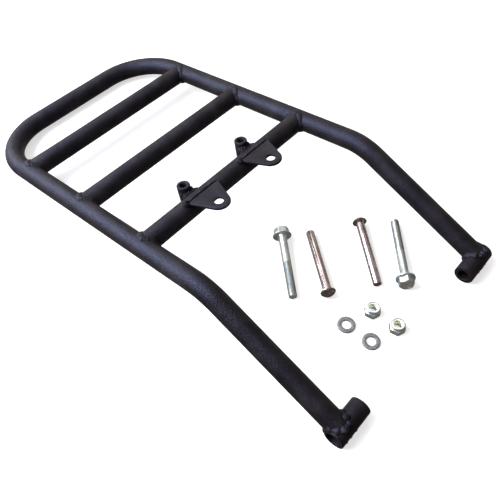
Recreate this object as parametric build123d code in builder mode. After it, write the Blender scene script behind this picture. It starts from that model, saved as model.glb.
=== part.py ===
from build123d import *
from math import asin, atan2, cos, hypot, radians, sin, sqrt, tan
import os

# Rigid tubular luggage carrier with its loose fixing kit, in millimetres.
# It lies on a flat surface, on the rear tube of its hoop and on its two end bosses.
# +X runs from the hoop to the bosses, +Y is the left side, +Z is up.
# The origin is on the surface, under the middle of the carrier.

# ---------------------------------------------------------------- driving sizes

# Bent tube: hoop, side rails and legs
TUBE_OD = 19.05
TUBE_WALL = 1.6
RAIL_SPACING = 213.0
BEND_RADIUS = 57.15
RAIL_LENGTH = 319.0
LEG_LENGTH = 149.0
LEG_DROP_ANGLE = 30.5

# Crossbars, cut from the same tube
FIRST_BAR_X = 69.0
BAR_PITCH = 87.0
BAR_COUNT = 3

# End bosses, across the foot of each leg, a little thinner than the tube
BOSS_UNDER_TUBE = 1.05
BOSS_BORE = 10.5
BOSS_COUNTERBORE = 14.6
BOSS_COUNTERBORE_DEPTH = 16.0
BOSS_INBOARD = 26.0
BOSS_OUTBOARD = 10.5
BOSS_BELOW_LEG = 1.0

# Flat tabs on the front bar
TAB_SPACING = 69.3
TAB_THICKNESS = 2.5
TAB_RISE = 1.4
TAB_REAR_WIDTH = 38.0
TAB_HOLE = 8.5
TAB_HOLE_SETBACK = 19.9
TAB_NOSE_RADIUS = 10.4

# Round spacers behind the front bar, and their webs
SPACER_SPACING = 77.0
SPACER_OD = 12.4
SPACER_HOLE = 6.6
SPACER_LENGTH = 21.5
SPACER_RISE = 1.2
SPACER_GAP = 1.4
WEB_TOP = 4.8
WEB_HEIGHT = 9.0
WEB_BAR_WIDTH = 18.0
WEB_TOE = 1.0

# Weld beads
WELD_LEG = 1.4
RAIL_WELD_LEG = 1.6
TAB_BEAD_RADIUS = 2.0
FLOOR_GAP = 0.6

# Softened edges
BOSS_CHAMFER = 0.5
SPACER_CHAMFER = 0.6
WASHER_CHAMFER = 0.2

# M8 fixings
THREAD_OD = 8.0
NEAR_BOLT_LENGTH = 65.0
FAR_BOLT_LENGTH = 70.0
PIN_LENGTH = 70.0
TIP_CHAMFER = 0.9
HEX_ACROSS_FLATS = 13.0
FLANGE_OD = 17.9
FLANGE_RIM = 1.2
FLANGE_CONE = 1.6
FLANGE_HEAD_HEIGHT = 8.0
DOME_OD = 14.0
DOME_HEIGHT = 4.4
DOME_RIM = 0.6
NUT_BORE = 6.7
NUT_HEX_HEIGHT = 6.4
NUT_HEIGHT = 9.2
NUT_COLLAR_OD = 12.4
NUT_COLLAR_WALL = 1.0
INSERT_BORE = 7.4
INSERT_HEIGHT = 2.0
INSERT_RECESS = 0.4
HEX_CHAMFER = 0.6
WASHER_OD = 16.0
WASHER_HOLE = 8.4
WASHER_THICKNESS = 1.6

# Where the kit lies: how far behind the boss axis, how far left, and which way it points
NEAR_FLANGE_BOLT_BACK = 129.6
NEAR_FLANGE_BOLT_LEFT = -12.7
NEAR_FLANGE_BOLT_HEADING = -41.8
FAR_FLANGE_BOLT_BACK = 57.7
FAR_FLANGE_BOLT_LEFT = 67.0
FAR_FLANGE_BOLT_HEADING = 130.2
NEAR_DOME_PIN_BACK = 107.3
NEAR_DOME_PIN_LEFT = 7.3
NEAR_DOME_PIN_HEADING = 140.8
FAR_DOME_PIN_BACK = 81.5
FAR_DOME_PIN_LEFT = 48.7
FAR_DOME_PIN_HEADING = -41.3
REAR_NUT_BACK = 42.1
REAR_NUT_LEFT = -0.9
REAR_NUT_TURN = 40.0
FRONT_NUT_BACK = 16.9
FRONT_NUT_LEFT = -0.3
FRONT_NUT_TURN = 40.0
REAR_WASHER_BACK = 51.6
REAR_WASHER_LEFT = -26.2
FRONT_WASHER_BACK = 26.4
FRONT_WASHER_LEFT = -25.2

# ---------------------------------------------------------------- worked-out sizes

TUBE_R = TUBE_OD / 2
TUBE_BORE_R = TUBE_R - TUBE_WALL
RAIL_Y = RAIL_SPACING / 2
BOSS_OD = TUBE_OD - BOSS_UNDER_TUBE
BOSS_R = BOSS_OD / 2
SPACER_R = SPACER_OD / 2
SHANK_R = THREAD_OD / 2
BAR_X = [FIRST_BAR_X + BAR_PITCH * number for number in range(BAR_COUNT)]
FRONT_BAR_X = BAR_X[-1]
BAR_NAMES = ["rear_crossbar", "middle_crossbar", "front_crossbar"]
SIDES = {"right": -1, "left": 1}

# Boss axis in the plane of a rail: along the deck, and below it
drop = radians(LEG_DROP_ANGLE)
BOSS_DECK_X = RAIL_LENGTH + LEG_LENGTH * cos(drop) - BOSS_BELOW_LEG * sin(drop)
BOSS_DECK_Z = -LEG_LENGTH * sin(drop) - BOSS_BELOW_LEG * cos(drop)

# The deck rises towards the bosses until hoop and bosses both touch the surface
foot_reach = hypot(BOSS_DECK_X, BOSS_DECK_Z)
tilt = atan2(-BOSS_DECK_Z, BOSS_DECK_X) + asin((BOSS_R - TUBE_R) / foot_reach)
BOSS_X_FROM_HOOP = BOSS_DECK_X * cos(tilt) - BOSS_DECK_Z * sin(tilt)
OVERALL_LENGTH = TUBE_R + BOSS_X_FROM_HOOP + BOSS_R
HOOP_X = TUBE_R - OVERALL_LENGTH / 2
BOSS_X = HOOP_X + BOSS_X_FROM_HOOP

# The deck plane: its origin is the centre of the hoop's rear tube
deck = Plane(
    origin=(HOOP_X, 0, TUBE_R),
    x_dir=(cos(tilt), 0, sin(tilt)),
    z_dir=(-sin(tilt), 0, cos(tilt)),
)

# Tabs rest on the shoulder of the front bar
TAB_TOP = TUBE_R + TAB_RISE
TAB_BOTTOM = TAB_TOP - TAB_THICKNESS
TAB_REAR_X = FRONT_BAR_X + sqrt(TUBE_R**2 - TAB_BOTTOM**2)
TAB_HOLE_X = TAB_REAR_X + TAB_HOLE_SETBACK

# Spacers stand just behind the front bar
SPACER_X = FRONT_BAR_X - TUBE_R - SPACER_GAP - SPACER_R
SPACER_TOP = TUBE_R + SPACER_RISE


# ---------------------------------------------------------------- helpers


def deck_point(x, y, z=0.0):
    """A point given on the deck, in the carrier's own frame."""
    return deck.from_local_coords(Vector(x, y, z))


def deck_level(x, y, z=0.0):
    """A plane parallel to the deck."""
    return Plane(origin=deck_point(x, y, z), x_dir=deck.x_dir, z_dir=deck.z_dir)


def facing(point, direction, x_dir=None):
    """A plane through a point, square to a direction."""
    return Plane(origin=point, x_dir=x_dir, z_dir=direction)


def rod(plane, radius, length, mode=Mode.ADD):
    """A round bar from a plane, along the plane's normal, in the open part."""
    with BuildSketch(plane) as section:
        Circle(radius)
    extrude(section.sketch, amount=length, mode=mode)


def outer_rims(builder):
    """The widest circular edges of the open part."""
    return builder.edges().filter_by(GeomType.CIRCLE).group_by(SortBy.RADIUS)[-1]


def save(builder, name):
    """Name a finished piece and write it."""
    builder.part.label = name
    export_step(builder.part, f"parts/{name}.step")


# Directions that the tubes run in
across = Vector(0, 1, 0)
forward = deck.x_dir
leg_way = deck.x_dir * cos(drop) - deck.z_dir * sin(drop)


def bar_start(x, side):
    """The plane at a rail's axis from which a crossbar at x runs inwards."""
    return facing(deck_point(x, side * RAIL_Y), across * -side, x_dir=forward)


def rail_plane(x, side):
    """The plane square to a rail, one weld's reach behind a crossbar at x."""
    return facing(deck_point(x - 2 * TUBE_R, side * RAIL_Y), forward)


def boss_plane(side):
    """The plane of a boss's inner end, facing outwards."""
    inner_end = Vector(BOSS_X, side * (RAIL_Y - BOSS_INBOARD), BOSS_R)
    return facing(inner_end, across * side, x_dir=(1, 0, 0))


def leg_plane(side, back):
    """The plane square to a leg, some way back from its foot."""
    foot = deck_point(RAIL_LENGTH, side * RAIL_Y) + leg_way * LEG_LENGTH
    return facing(foot - leg_way * back, leg_way)


BOSS_LENGTH = BOSS_INBOARD + BOSS_OUTBOARD

# ---------------------------------------------------------------- carrier

os.makedirs("parts", exist_ok=True)

# Main tube: bent from one length, from the right leg round the hoop to the left leg.
# Each straight and each bend is its own piece, and they meet end to end.
TUBE_RUNS = [
    "right_leg",
    "right_leg_bend",
    "right_rail",
    "right_hoop_bend",
    "hoop_tube",
    "left_hoop_bend",
    "left_rail",
    "left_leg_bend",
    "left_leg",
]
with BuildLine() as tube_path:
    FilletPolyline(
        deck_point(RAIL_LENGTH, -RAIL_Y) + leg_way * LEG_LENGTH,
        deck_point(RAIL_LENGTH, -RAIL_Y),
        deck_point(0, -RAIL_Y),
        deck_point(0, RAIL_Y),
        deck_point(RAIL_LENGTH, RAIL_Y),
        deck_point(RAIL_LENGTH, RAIL_Y) + leg_way * LEG_LENGTH,
        radius=BEND_RADIUS,
    )
for run_name, run in zip(TUBE_RUNS, tube_path.edges().sort_by(tube_path.wire())):
    with BuildPart() as tube_run:
        with BuildSketch(facing(run @ 0, run % 0)):
            Circle(TUBE_R)
            Circle(TUBE_BORE_R, mode=Mode.SUBTRACT)
        sweep(path=run)
        for side in SIDES.values():
            rod(boss_plane(side), BOSS_R, BOSS_LENGTH, mode=Mode.SUBTRACT)
    save(tube_run, run_name)

# Crossbars: tube coped at both ends to fit round the rails
for bar_name, bar_x in zip(BAR_NAMES, BAR_X):
    with BuildPart() as crossbar:
        with BuildSketch(bar_start(bar_x, -1)):
            Circle(TUBE_R)
            Circle(TUBE_BORE_R, mode=Mode.SUBTRACT)
        extrude(amount=RAIL_SPACING)
        for side in SIDES.values():
            rod(rail_plane(bar_x, side), TUBE_R, 4 * TUBE_R, mode=Mode.SUBTRACT)
    save(crossbar, bar_name)

    # A bead round each end of the bar
    with BuildPart() as bar_welds:
        rod(bar_start(bar_x, 1), TUBE_R + WELD_LEG, 2 * TUBE_R)
        rod(rail_plane(bar_x, 1), TUBE_R + RAIL_WELD_LEG, 4 * TUBE_R, mode=Mode.INTERSECT)
        rod(rail_plane(bar_x, 1), TUBE_R, 4 * TUBE_R, mode=Mode.SUBTRACT)
        rod(bar_start(bar_x, 1), TUBE_R, 2 * TUBE_R, mode=Mode.SUBTRACT)
        mirror(about=Plane.XZ)
    save(bar_welds, f"{bar_name}_welds")

# Pieces that come once on each side
for side_name, side in SIDES.items():

    # Boss: a cross tube bored through, with a counterbore from outside for a bolt head
    with BuildPart() as boss:
        rod(boss_plane(side), BOSS_R, BOSS_LENGTH)
        rod(boss_plane(side), BOSS_BORE / 2, BOSS_LENGTH, mode=Mode.SUBTRACT)
        outer_end = boss_plane(side).offset(BOSS_LENGTH - BOSS_COUNTERBORE_DEPTH)
        rod(outer_end, BOSS_COUNTERBORE / 2, BOSS_COUNTERBORE_DEPTH, mode=Mode.SUBTRACT)
        chamfer(outer_rims(boss), BOSS_CHAMFER)
    save(boss, f"{side_name}_boss")

    # Bead round the foot of the leg, kept clear of the surface below
    with BuildPart() as boss_weld:
        rod(leg_plane(side, 2 * TUBE_R), TUBE_R + WELD_LEG, 2 * TUBE_R)
        rod(boss_plane(side), BOSS_R + BOSS_BELOW_LEG + WELD_LEG, BOSS_LENGTH, mode=Mode.INTERSECT)
        rod(boss_plane(side), BOSS_R, BOSS_LENGTH, mode=Mode.SUBTRACT)
        rod(leg_plane(side, 2 * TUBE_R), TUBE_R, 2 * TUBE_R, mode=Mode.SUBTRACT)
        split(bisect_by=Plane.XY.offset(FLOOR_GAP), keep=Keep.TOP)
    save(boss_weld, f"{side_name}_boss_weld")

    # Tab: a flat plate that narrows to a round nose with a bolt hole
    tab_y = side * TAB_SPACING / 2
    with BuildPart() as tab:
        with BuildSketch(deck_level(0, 0, TAB_BOTTOM)):
            with BuildLine():
                CenterArc((TAB_HOLE_X, tab_y), TAB_NOSE_RADIUS, 0, 360)
                Line(
                    (TAB_REAR_X, tab_y - TAB_REAR_WIDTH / 2),
                    (TAB_REAR_X, tab_y + TAB_REAR_WIDTH / 2),
                )
            make_hull()
            with Locations((TAB_HOLE_X, tab_y)):
                Circle(TAB_HOLE / 2, mode=Mode.SUBTRACT)
        extrude(amount=TAB_THICKNESS)
    save(tab, f"{side_name}_tab")

    # Bead between the tab's rear edge and the top of the bar
    bead_axis = deck_point(
        TAB_REAR_X - TAB_BEAD_RADIUS / 2,
        tab_y - TAB_REAR_WIDTH / 2,
        TAB_TOP - TAB_BEAD_RADIUS / 2,
    )
    with BuildPart() as tab_weld:
        rod(facing(bead_axis, across, x_dir=forward), TAB_BEAD_RADIUS, TAB_REAR_WIDTH)
        with BuildSketch(deck_level(0, 0, 0)):
            with Locations((TAB_REAR_X, tab_y)):
                Rectangle(
                    2 * TAB_BEAD_RADIUS,
                    TAB_REAR_WIDTH,
                    align=(Align.MIN, Align.CENTER),
                )
        extrude(amount=TAB_TOP + TAB_BEAD_RADIUS, mode=Mode.SUBTRACT)
        rod(bar_start(FRONT_BAR_X, -1), TUBE_R, RAIL_SPACING, mode=Mode.SUBTRACT)
    save(tab_weld, f"{side_name}_tab_weld")

    # Spacer: a short round pillar with a through hole
    spacer_y = side * SPACER_SPACING / 2
    spacer_foot = deck_level(SPACER_X, spacer_y, SPACER_TOP - SPACER_LENGTH)
    with BuildPart() as spacer:
        rod(spacer_foot, SPACER_R, SPACER_LENGTH)
        rod(spacer_foot, SPACER_HOLE / 2, SPACER_LENGTH, mode=Mode.SUBTRACT)
        chamfer(outer_rims(spacer), SPACER_CHAMFER)
    save(spacer, f"{side_name}_spacer")

    # Web: fills the notch between spacer and bar, wider at the bar
    with BuildPart() as web:
        with BuildSketch(deck_level(0, 0, WEB_TOP - WEB_HEIGHT)):
            with BuildLine():
                Polyline(
                    (SPACER_X + WEB_TOE, spacer_y - SPACER_R + WEB_TOE),
                    (FRONT_BAR_X, spacer_y - WEB_BAR_WIDTH / 2),
                    (FRONT_BAR_X, spacer_y + WEB_BAR_WIDTH / 2),
                    (SPACER_X + WEB_TOE, spacer_y + SPACER_R - WEB_TOE),
                    close=True,
                )
            make_face()
        extrude(amount=WEB_HEIGHT)
        rod(spacer_foot, SPACER_R, SPACER_LENGTH, mode=Mode.SUBTRACT)
        rod(bar_start(FRONT_BAR_X, -1), TUBE_R, RAIL_SPACING, mode=Mode.SUBTRACT)
    save(web, f"{side_name}_spacer_web")


# ---------------------------------------------------------------- loose kit


def lying_shank(back, left, heading, length, bearing_r, head_height):
    """The plane under the head of a bolt that lies on its head's rim and its tip.

    The place given is the middle of the whole bolt, and the plane faces the tip.
    """
    turn = radians(heading)
    dip = atan2(bearing_r - SHANK_R, length - TIP_CHAMFER)
    way = Vector(cos(turn) * cos(dip), sin(turn) * cos(dip), -sin(dip))
    from_middle = (length - head_height) / 2
    under_head = Vector(
        BOSS_X - back - way.X * from_middle,
        left - way.Y * from_middle,
        bearing_r * cos(dip),
    )
    return Plane(origin=under_head, x_dir=(-sin(turn), cos(turn), 0), z_dir=way)


def shank(under_head, length):
    """A round shank with a chamfered tip, added to the open part."""
    rod(under_head, SHANK_R, length - TIP_CHAMFER)
    with Locations(under_head.offset(length - TIP_CHAMFER)):
        Cone(
            SHANK_R,
            SHANK_R - TIP_CHAMFER,
            TIP_CHAMFER,
            align=(Align.CENTER, Align.CENTER, Align.MIN),
        )


def hexagon(plane, height):
    """A hexagonal block whose far corners are turned off at 30 degrees."""
    with BuildSketch(plane) as section:
        RegularPolygon(HEX_ACROSS_FLATS / 2, 6, major_radius=False)
    extrude(section.sketch, amount=height)
    crown_r = HEX_ACROSS_FLATS / 2 - HEX_CHAMFER / 2
    with Locations(plane):
        Cone(
            crown_r + height * tan(radians(60)),
            crown_r,
            height,
            align=(Align.CENTER, Align.CENTER, Align.MIN),
            mode=Mode.INTERSECT,
        )


# Hex flange bolts
FLANGE_BOLTS = {
    "near_flange_bolt": (
        NEAR_FLANGE_BOLT_BACK,
        NEAR_FLANGE_BOLT_LEFT,
        NEAR_FLANGE_BOLT_HEADING,
        NEAR_BOLT_LENGTH,
    ),
    "far_flange_bolt": (
        FAR_FLANGE_BOLT_BACK,
        FAR_FLANGE_BOLT_LEFT,
        FAR_FLANGE_BOLT_HEADING,
        FAR_BOLT_LENGTH,
    ),
}
for bolt_name, (back, left, heading, length) in FLANGE_BOLTS.items():
    under_head = lying_shank(back, left, heading, length, FLANGE_OD / 2, FLANGE_HEAD_HEIGHT)
    head_way = Plane(origin=under_head.origin, x_dir=under_head.x_dir, z_dir=-under_head.z_dir)
    with BuildPart() as flange_bolt:
        hexagon(head_way, FLANGE_HEAD_HEIGHT)
        rod(head_way, FLANGE_OD / 2, FLANGE_RIM)
        with Locations(head_way.offset(FLANGE_RIM)):
            Cone(
                FLANGE_OD / 2,
                HEX_ACROSS_FLATS / 2,
                FLANGE_CONE,
                align=(Align.CENTER, Align.CENTER, Align.MIN),
            )
        shank(under_head, length)
    save(flange_bolt, bolt_name)

# Dome-headed pins: the dome is a slice of a sphere on a thin rim
DOME_PINS = {
    "near_dome_pin": (NEAR_DOME_PIN_BACK, NEAR_DOME_PIN_LEFT, NEAR_DOME_PIN_HEADING),
    "far_dome_pin": (FAR_DOME_PIN_BACK, FAR_DOME_PIN_LEFT, FAR_DOME_PIN_HEADING),
}
dome_rise = DOME_HEIGHT - DOME_RIM
dome_r = (dome_rise**2 + (DOME_OD / 2) ** 2) / (2 * dome_rise)
for pin_name, (back, left, heading) in DOME_PINS.items():
    under_head = lying_shank(back, left, heading, PIN_LENGTH, DOME_OD / 2, DOME_HEIGHT)
    head_way = Plane(origin=under_head.origin, x_dir=under_head.x_dir, z_dir=-under_head.z_dir)
    with BuildPart() as dome_pin:
        rod(head_way, DOME_OD / 2, DOME_HEIGHT)
        with Locations(head_way.offset(DOME_HEIGHT - dome_r)):
            Sphere(dome_r, mode=Mode.INTERSECT)
        shank(under_head, PIN_LENGTH)
    save(dome_pin, pin_name)

# Lock nuts: a hexagonal body with a round collar that holds a nylon ring
NUTS = {
    "rear_nut": (REAR_NUT_BACK, REAR_NUT_LEFT, REAR_NUT_TURN),
    "front_nut": (FRONT_NUT_BACK, FRONT_NUT_LEFT, FRONT_NUT_TURN),
}
insert_r = NUT_COLLAR_OD / 2 - NUT_COLLAR_WALL
insert_floor = NUT_HEIGHT - INSERT_RECESS - INSERT_HEIGHT
for nut_name, (back, left, turn) in NUTS.items():
    heading = radians(turn)
    seat = Plane(
        origin=(BOSS_X - back, left, 0),
        x_dir=(cos(heading), sin(heading), 0),
        z_dir=(0, 0, 1),
    )
    with BuildPart() as nut_body:
        hexagon(seat, NUT_HEX_HEIGHT)
        rod(seat, NUT_COLLAR_OD / 2, NUT_HEIGHT)
        rod(seat, NUT_BORE / 2, NUT_HEIGHT, mode=Mode.SUBTRACT)
        rod(seat.offset(insert_floor), insert_r, NUT_HEIGHT, mode=Mode.SUBTRACT)
    save(nut_body, f"{nut_name}_body")

    with BuildPart() as nut_insert:
        rod(seat.offset(insert_floor), insert_r, INSERT_HEIGHT)
        rod(seat.offset(insert_floor), INSERT_BORE / 2, INSERT_HEIGHT, mode=Mode.SUBTRACT)
    save(nut_insert, f"{nut_name}_nylon_ring")

# Flat washers
WASHERS = {
    "rear_washer": (REAR_WASHER_BACK, REAR_WASHER_LEFT),
    "front_washer": (FRONT_WASHER_BACK, FRONT_WASHER_LEFT),
}
for washer_name, (back, left) in WASHERS.items():
    seat = Plane(origin=(BOSS_X - back, left, 0))
    with BuildPart() as washer:
        rod(seat, WASHER_OD / 2, WASHER_THICKNESS)
        rod(seat, WASHER_HOLE / 2, WASHER_THICKNESS, mode=Mode.SUBTRACT)
        chamfer(outer_rims(washer), WASHER_CHAMFER)
    save(washer, washer_name)
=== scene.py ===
"""Looks of a rigid tubular luggage carrier and its loose fixing kit, in metres."""

import logging
import math
from collections.abc import Callable, Iterator
from contextlib import contextmanager
from dataclasses import dataclass
from enum import Enum

import bpy
from mathutils import Matrix, Quaternion, Vector, noise


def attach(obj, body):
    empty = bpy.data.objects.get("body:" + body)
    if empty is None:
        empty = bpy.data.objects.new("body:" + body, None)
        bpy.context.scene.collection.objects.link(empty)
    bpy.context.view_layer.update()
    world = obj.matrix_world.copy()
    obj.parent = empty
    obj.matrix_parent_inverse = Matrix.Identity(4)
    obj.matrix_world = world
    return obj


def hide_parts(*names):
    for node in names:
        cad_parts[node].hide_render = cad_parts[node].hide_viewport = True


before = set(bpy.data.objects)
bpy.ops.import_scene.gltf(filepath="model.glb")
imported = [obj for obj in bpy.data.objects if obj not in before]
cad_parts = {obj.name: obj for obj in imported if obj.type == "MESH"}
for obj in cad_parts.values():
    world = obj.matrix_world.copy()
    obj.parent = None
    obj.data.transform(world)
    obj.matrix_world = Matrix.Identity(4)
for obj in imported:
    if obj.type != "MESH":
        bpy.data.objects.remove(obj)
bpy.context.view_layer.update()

log = logging.getLogger("carrier")

MM = 0.001
BEAD_STEP = 0.002  # share of a weld's line either side of a point that gives its direction
WANDER_SCALE, LUMP_SCALE = 190, 330  # per metre: how a weld's ripples drift, and its lumps
SEAT = 0.15 * MM  # how far a coped end runs into its neighbour, so that no gap shows
PITCH = 1.25 * MM
Thing = bpy.types.Object
Spot = tuple[Vector, Vector]
Profile = list[tuple[float, float]]
Colour = tuple[float, float, float]


# ---------------------------------------------------------------- shop tools


class Side(Enum):
    """The two sides of the carrier, by the sign of Y."""

    RIGHT = -1
    LEFT = 1

    @property
    def word(self) -> str:
        """The side's name as it stands in piece names.

        Returns:
            The word, in small letters.
        """
        return self.name.lower()


def take(*things: Thing) -> Thing:
    """Selects only these objects and makes the first one active.

    Args:
        things: the objects to select.

    Returns:
        The first of them.
    """
    if bpy.context.object and bpy.context.object.mode != "OBJECT":
        bpy.ops.object.mode_set(mode="OBJECT")
    bpy.ops.object.select_all(action="DESELECT")
    for thing in things:
        thing.select_set(True)
    bpy.context.view_layer.objects.active = things[0]
    return things[0]


@contextmanager
def editing(thing: Thing, kind: str = "VERT") -> Iterator[None]:
    """Edit mode on one object, with the whole mesh selected at the start.

    Args:
        thing: the object to edit.
        kind: VERT, EDGE or FACE selection.

    Returns:
        A context that leaves edit mode at its end.
    """
    take(thing)
    bpy.ops.object.mode_set(mode="EDIT")
    bpy.ops.mesh.select_mode(type=kind)
    bpy.ops.mesh.select_all(action="SELECT")
    yield
    bpy.ops.object.mode_set(mode="OBJECT")


def fresh(name: str) -> Thing:
    """Names the primitive that was just added and puts its place into its mesh.

    Args:
        name: the piece's name.

    Returns:
        The new object.
    """
    thing = bpy.context.object
    thing.name = thing.data.name = name
    bpy.ops.object.transform_apply(location=True, rotation=True, scale=True)
    return thing


def drum(name: str, radius: float, start: Vector, end: Vector, sides: int = 64) -> Thing:
    """A round or many-sided bar between two points.

    Args:
        name: the piece's name.
        radius: radius over the corners.
        start: middle of one end.
        end: middle of the other end.
        sides: number of sides.

    Returns:
        The new object.
    """
    way = end - start
    bpy.ops.object.select_all(action="DESELECT")
    bpy.ops.mesh.primitive_cylinder_add(
        vertices=sides,
        radius=radius,
        depth=way.length,
        location=(start + end) / 2,
        rotation=way.to_track_quat("Z", "X").to_euler(),
    )
    return fresh(name)


def combine(thing: Thing, tool: Thing, how: str) -> Thing:
    """Applies a Boolean with a second object, which is used up.

    Args:
        thing: the piece that stays.
        tool: the object that cuts, joins or bounds it.
        how: DIFFERENCE, UNION or INTERSECT.

    Returns:
        The piece.
    """
    take(thing)
    step = thing.modifiers.new("combine", "BOOLEAN")
    step.operation = how
    step.solver = "EXACT"
    step.object = tool
    bpy.ops.object.modifier_apply(modifier=step.name)
    bpy.data.objects.remove(tool, do_unlink=True)
    return thing


def belong(things: dict[str, Thing], body: str) -> list[Thing]:
    """Ties pieces to a moving body and to the nodes whose place they take.

    Args:
        things: the pieces, by the name of the node that each replaces.
        body: the body that they all ride on.

    Returns:
        The pieces.
    """
    for node, thing in things.items():
        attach(thing, body)
        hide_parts(node)
    return list(things.values())


def soften(thing: Thing, width: float, segments: int = 2, angle: float = 40.0) -> Thing:
    """Rounds the sharp edges of a piece.

    Args:
        thing: the piece.
        width: width of the rounding.
        segments: steps across it.
        angle: the least angle between faces, in degrees, that is rounded.

    Returns:
        The piece.
    """
    take(thing)
    step = thing.modifiers.new("soften", "BEVEL")
    step.width = width
    step.segments = segments
    step.limit_method = "ANGLE"
    step.angle_limit = math.radians(angle)
    step.use_clamp_overlap = True
    bpy.ops.object.modifier_apply(modifier=step.name)
    return thing


def close_up(thing: Thing, gap: float = 1e-7) -> Thing:
    """Merges doubled points, clears slivers and turns every face outwards.

    Args:
        thing: the piece.
        gap: the longest distance that counts as doubled.

    Returns:
        The piece.
    """
    with editing(thing):
        bpy.ops.mesh.remove_doubles(threshold=gap)
        bpy.ops.mesh.dissolve_degenerate(threshold=gap)
        bpy.ops.mesh.normals_make_consistent(inside=False)
    return thing


def shade(thing: Thing, angle: float = 35.0) -> Thing:
    """Shades a piece smooth, but for its sharp edges.

    Args:
        thing: the piece.
        angle: the least angle between faces, in degrees, that stays sharp.

    Returns:
        The piece.
    """
    take(thing)
    bpy.ops.object.shade_smooth_by_angle(angle=math.radians(angle))
    return thing


def put(thing: Thing, place: Matrix) -> Thing:
    """Moves a piece to its place and leaves its object at the origin.

    Args:
        thing: the piece.
        place: where it goes, from where it is.

    Returns:
        The piece.
    """
    take(thing)
    thing.matrix_world = place @ thing.matrix_world
    bpy.context.view_layer.update()
    bpy.ops.object.transform_apply(location=True, rotation=True, scale=True)
    return thing


def twin(thing: Thing, name: str) -> Thing:
    """A copy of a piece with a mesh of its own.

    Args:
        thing: the piece.
        name: the copy's name.

    Returns:
        The copy.
    """
    take(thing)
    bpy.ops.object.duplicate(linked=False)
    copy = bpy.context.object
    copy.name = copy.data.name = name
    return copy


def join(name: str, *things: Thing) -> Thing:
    """Joins pieces into the first one and renames it.

    Args:
        name: the name of the result.
        things: the pieces, two or more.

    Returns:
        The joined piece.
    """
    take(*things)
    bpy.ops.object.join()
    things[0].name = things[0].data.name = name
    return things[0]


def turned(name: str, profile: Profile, ring: bool = False, steps: int = 48) -> Thing:
    """Turns a profile about the Z axis, as on a lathe.

    Args:
        name: the piece's name.
        profile: radius and height of each point. Its ends lie on the axis unless ring is set.
        ring: joins the last point to the first, for a piece with a hole.
        steps: steps round the axis.

    Returns:
        The new object, closed and facing outwards.
    """
    points = [Vector((radius, 0, height)) for radius, height in profile]
    if ring:
        points.append(points[0])
    bpy.ops.object.select_all(action="DESELECT")
    bpy.ops.mesh.primitive_plane_add(size=MM)
    thing = fresh(name)
    with editing(thing):
        bpy.ops.mesh.merge(type="CENTER")
        bpy.ops.transform.translate(value=points[0])
        for here, there in zip(points, points[1:]):
            bpy.ops.mesh.extrude_region_move(TRANSFORM_OT_translate={"value": there - here})
        bpy.ops.mesh.select_all(action="SELECT")
        bpy.ops.mesh.spin(steps=steps, angle=math.tau, center=(0, 0, 0), axis=(0, 0, 1))
    return close_up(thing)


def bead(
    name: str,
    line: Callable[[float], Spot],
    closed: bool,
    size: tuple[float, float],
    beat: float,
    rough: float = 0.16,
    lumpy: float = 2.2,
) -> Thing:
    """Lays a rippled weld bead along a line.

    Args:
        name: the piece's name.
        line: gives the bead's middle and the way it faces, from a share 0 to 1 of the line.
        closed: the line comes back to its start.
        size: half the bead's width, and its height.
        beat: ripples along the whole line.
        rough: how much the ripples change the size, as a share.
        lumpy: how much more than the ripples the lumps change it.

    Returns:
        The new object.
    """
    bpy.ops.object.select_all(action="DESELECT")
    if closed:
        bpy.ops.mesh.primitive_torus_add(
            major_segments=round(beat * 7), minor_segments=12, major_radius=1, minor_radius=0.25
        )
    else:
        bpy.ops.mesh.primitive_uv_sphere_add(segments=12, ring_count=round(beat * 7), radius=1)
    thing = fresh(name)
    width, height = size
    for point in thing.data.vertices:
        x, y, z = point.co
        if closed:
            share = (math.atan2(y, x) / math.tau) % 1.0
            around = math.atan2(z, math.hypot(x, y) - 1)
            full = 1.0
        else:
            share = (z + 1) / 2
            around = math.atan2(y, x)
            full = math.sqrt(max(0.0, 1 - abs(z) ** 6))
        place, face = line(share)
        ahead, behind = share + BEAD_STEP, share - BEAD_STEP
        ahead = line(ahead % 1.0 if closed else ahead)[0]
        behind = line(behind % 1.0 if closed else behind)[0]
        way = (ahead - behind).normalized()
        cross = way.cross(face).normalized()
        face = cross.cross(way)
        wander = noise.noise(place * WANDER_SCALE) * 2.2
        ripple = abs(math.sin(math.pi * beat * share + wander)) - 0.5
        lump = 1 + rough * ripple + rough * lumpy * noise.noise(place * LUMP_SCALE)
        lump *= full
        point.co = (
            place
            + face * (height * lump * math.cos(around))
            + cross * (width * lump * math.sin(around))
        )
    return shade(close_up(thing), 60)


# ---------------------------------------------------------------- finishes


def shader(name: str) -> tuple[bpy.types.Material, bpy.types.NodeTree, bpy.types.Node]:
    """A new material with an empty Principled shader.

    Args:
        name: the material's name.

    Returns:
        The material, its node tree, and the shader node.
    """
    material = bpy.data.materials.new(name)
    material.use_nodes = True
    tree = material.node_tree
    return material, tree, tree.nodes["Principled BSDF"]


def grain(tree: bpy.types.NodeTree, scale: float, detail: float = 3.0) -> bpy.types.NodeSocket:
    """Noise on the object's own coordinates.

    Args:
        tree: the material's node tree.
        scale: grains per metre.
        detail: how many finer octaves it holds.

    Returns:
        The noise value.
    """
    place = tree.nodes.new("ShaderNodeTexCoord")
    pattern = tree.nodes.new("ShaderNodeTexNoise")
    fix(pattern, Scale=scale, Detail=detail)
    tree.links.new(place.outputs["Object"], pattern.inputs["Vector"])
    return pattern.outputs["Fac"]


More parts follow.
